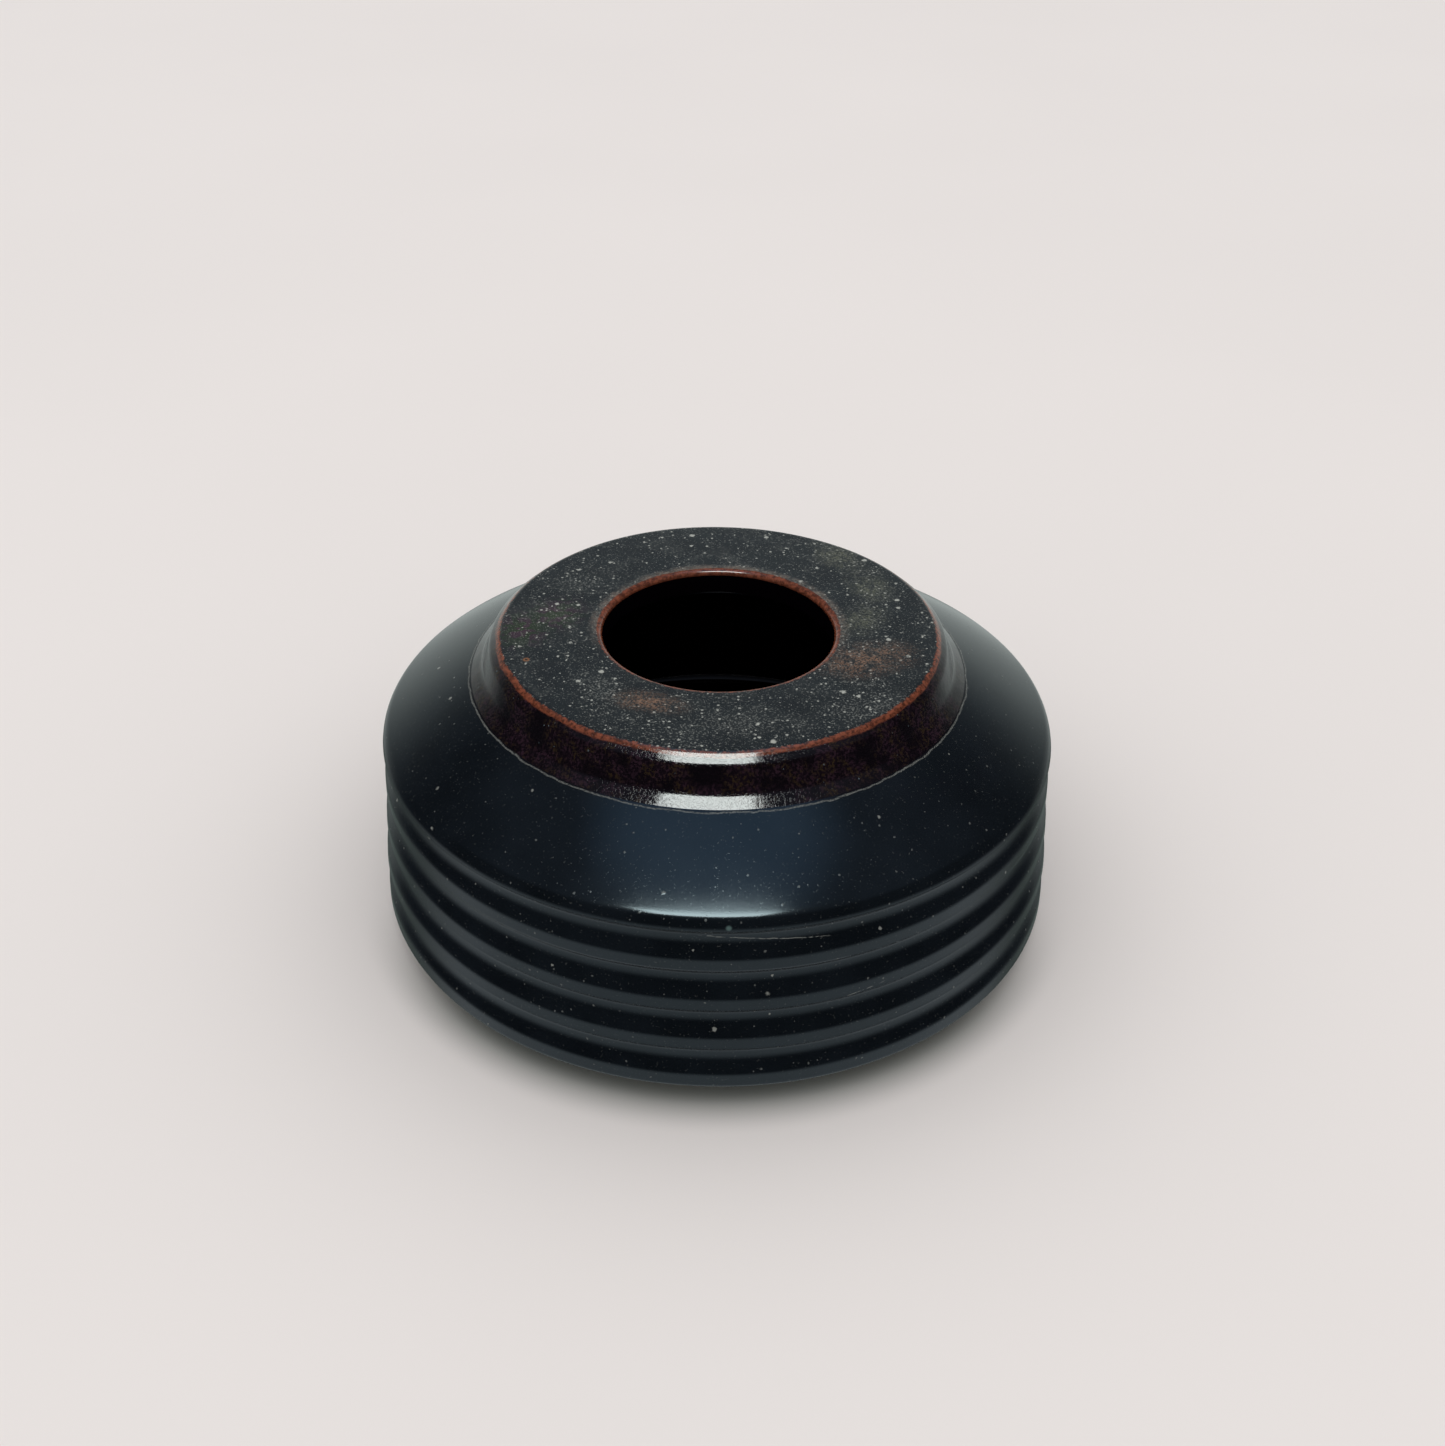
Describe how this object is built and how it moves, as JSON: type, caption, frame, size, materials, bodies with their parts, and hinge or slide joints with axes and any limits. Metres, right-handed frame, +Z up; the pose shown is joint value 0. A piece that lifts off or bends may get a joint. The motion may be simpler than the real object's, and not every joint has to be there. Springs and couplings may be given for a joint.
{
  "type": "candle jar",
  "caption": "Empty squat stoneware candle jar in dark glazes: coved, ribbed wall, sloping shoulder, short glossy collar and a broad flat rim round a small central mouth.",
  "frame": {"origin": "centre of the foot, on the plane the jar stands on", "axes": "+Z up along the axis of the jar, out of the mouth; X and Y are free about it"},
  "size_m": [0.144, 0.144, 0.063],
  "materials": {
    "stoneware": "unglazed, fired dark brown",
    "matte_glaze": "satin blue-black with fine pale specks",
    "black_gloss_glaze": "glossy brown-black",
    "speckled_glaze": "satin grey-black, densely speckled, rust brown where it thins at the edges"
  },
  "bodies": {
    "root": {"foot_ring": "stoneware", "base_disc": "stoneware", "ribbed_wall": "stoneware", "shoulder_cone": "stoneware", "collar": "stoneware", "rim_flange": "stoneware", "liner_glaze": "black_gloss_glaze", "wall_glaze": "matte_glaze", "shoulder_glaze": "matte_glaze", "collar_glaze": "black_gloss_glaze", "rim_glaze": "speckled_glaze"}
  },
  "joints": []
}
